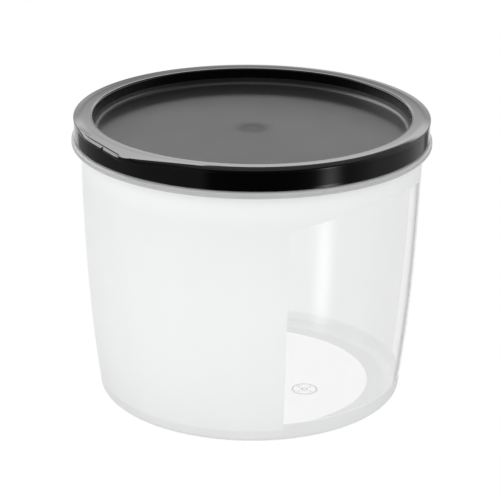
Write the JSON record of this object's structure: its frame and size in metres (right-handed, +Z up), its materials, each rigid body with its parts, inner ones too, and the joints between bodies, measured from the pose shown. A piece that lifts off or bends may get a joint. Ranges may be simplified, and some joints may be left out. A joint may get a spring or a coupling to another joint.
{
  "type": "round storage canister",
  "caption": "Round tapered food canister: a frosted tub with a clear viewing window, a rolled collar and a black press-on lid with a pull tab.",
  "frame": {"origin": "centre of the tub's resting plane, on the axis of revolution", "axes": "+Z up along the axis of revolution, -Y the front; the pull tab is 39.5 degrees from the front towards -X, the clear window is centred 51 degrees from the front towards +X"},
  "size_m": [0.1794, 0.1794, 0.144],
  "materials": {
    "frosted_polypropylene": "satin translucent natural polypropylene, with one polished clear window",
    "black_polypropylene": "semi-gloss skirt and ring, fine satin panel"
  },
  "bodies": {
    "tub": {"tub": "frosted_polypropylene"},
    "lid": {"lid": "black_polypropylene"}
  },
  "joints": [
    {"name": "lid_lift", "type": "slide", "parent": "tub", "child": "lid", "axis": [0, 0, 1], "range_m": [0, 0.08]}
  ]
}
